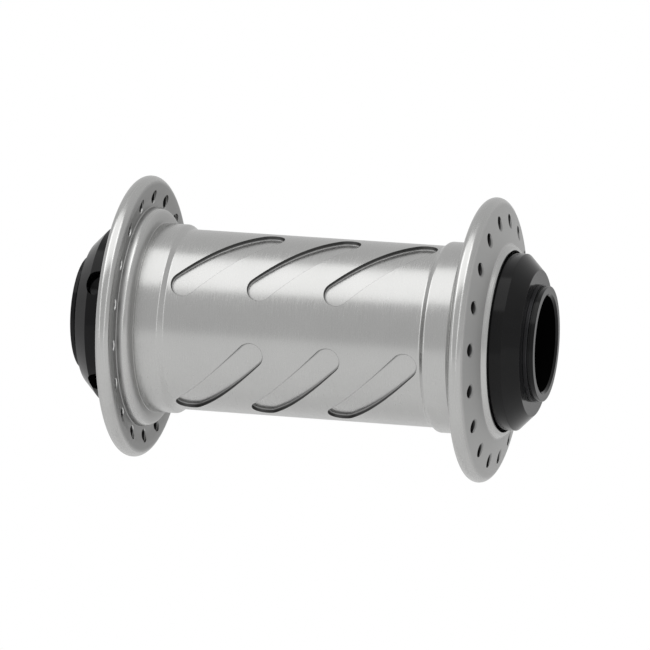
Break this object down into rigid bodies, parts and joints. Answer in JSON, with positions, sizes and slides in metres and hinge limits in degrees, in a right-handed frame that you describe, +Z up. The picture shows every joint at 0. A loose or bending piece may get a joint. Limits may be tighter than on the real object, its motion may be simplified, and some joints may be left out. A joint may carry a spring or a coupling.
{
  "type": "bicycle front hub",
  "caption": "Front wheel hub: silver spool-shaped shell with two drilled flanges and slanted barrel pockets, turning on a hollow axle with black end caps.",
  "frame": {"origin": "centre of the hub: on the spin axis, halfway between the two ends of the axle", "axes": "+Y along the spin axis towards the plain end cap, -Y towards the preload adjuster, +Z up, +X square to both"},
  "size_m": [0.0594, 0.1, 0.0594],
  "materials": {
    "shell_silver": "satin clear anodised, brushed round the axis",
    "axle_black": "satin black anodised",
    "cap_black": "satin black anodised",
    "spacer_silver": "turned",
    "ring_steel": "blackened spring steel",
    "washer_steel": "ground",
    "race_steel": "ground bearing steel",
    "ball_steel": "polished bearing steel",
    "cage_plastic": "moulded",
    "rubber_black": "matte",
    "seal_rubber": "matte"
  },
  "bodies": {
    "axle": {"axle_tube": "axle_black", "bearing_spacer": "spacer_silver", "right_end_cap": "cap_black", "right_cap_o_ring": "rubber_black", "right_cap_shim": "ring_steel", "right_retaining_ring": "ring_steel", "left_retaining_ring": "ring_steel", "right_inner_race": "race_steel", "left_inner_race": "race_steel"},
    "shell": {"hub_shell": "shell_silver", "right_outer_race": "race_steel", "left_outer_race": "race_steel", "right_inner_seal": "seal_rubber", "right_outer_seal": "seal_rubber", "left_inner_seal": "seal_rubber", "left_outer_seal": "seal_rubber", "right_dust_seal": "rubber_black", "left_dust_seal": "rubber_black"},
    "right_ball_set": {"right_bearing_balls": "ball_steel", "right_ball_cage": "cage_plastic"},
    "left_ball_set": {"left_bearing_balls": "ball_steel", "left_ball_cage": "cage_plastic"},
    "washer": {"thrust_washer": "washer_steel"},
    "adjuster": {"preload_adjuster": "cap_black", "adjuster_o_ring": "rubber_black"}
  },
  "joints": [
    {"name": "shell_spin", "type": "hinge", "parent": "axle", "child": "shell", "pos_m": [0, 0, 0], "axis": [0, 1, 0], "continuous": true},
    {"name": "right_ball_set_spin", "type": "hinge", "parent": "axle", "child": "right_ball_set", "pos_m": [0, 0.0351, 0], "axis": [0, 1, 0], "continuous": true},
    {"name": "left_ball_set_spin", "type": "hinge", "parent": "axle", "child": "left_ball_set", "pos_m": [0, -0.0351, 0], "axis": [0, 1, 0], "continuous": true},
    {"name": "washer_slide", "type": "slide", "parent": "axle", "child": "washer", "axis": [0, -1, 0], "range_m": [0, 0.0004]},
    {"name": "adjuster_turn", "type": "hinge", "parent": "washer", "child": "adjuster", "pos_m": [0, -0.043, 0], "axis": [0, -1, 0], "range_deg": [0, 143.9]}
  ],
  "couplings": [
    {"joint": "right_ball_set_spin", "follows": "shell_spin", "ratio": 0.55645},
    {"joint": "left_ball_set_spin", "follows": "shell_spin", "ratio": 0.55645},
    {"joint": "washer_slide", "follows": "adjuster_turn", "m_per_rad": 0.00015915}
  ]
}
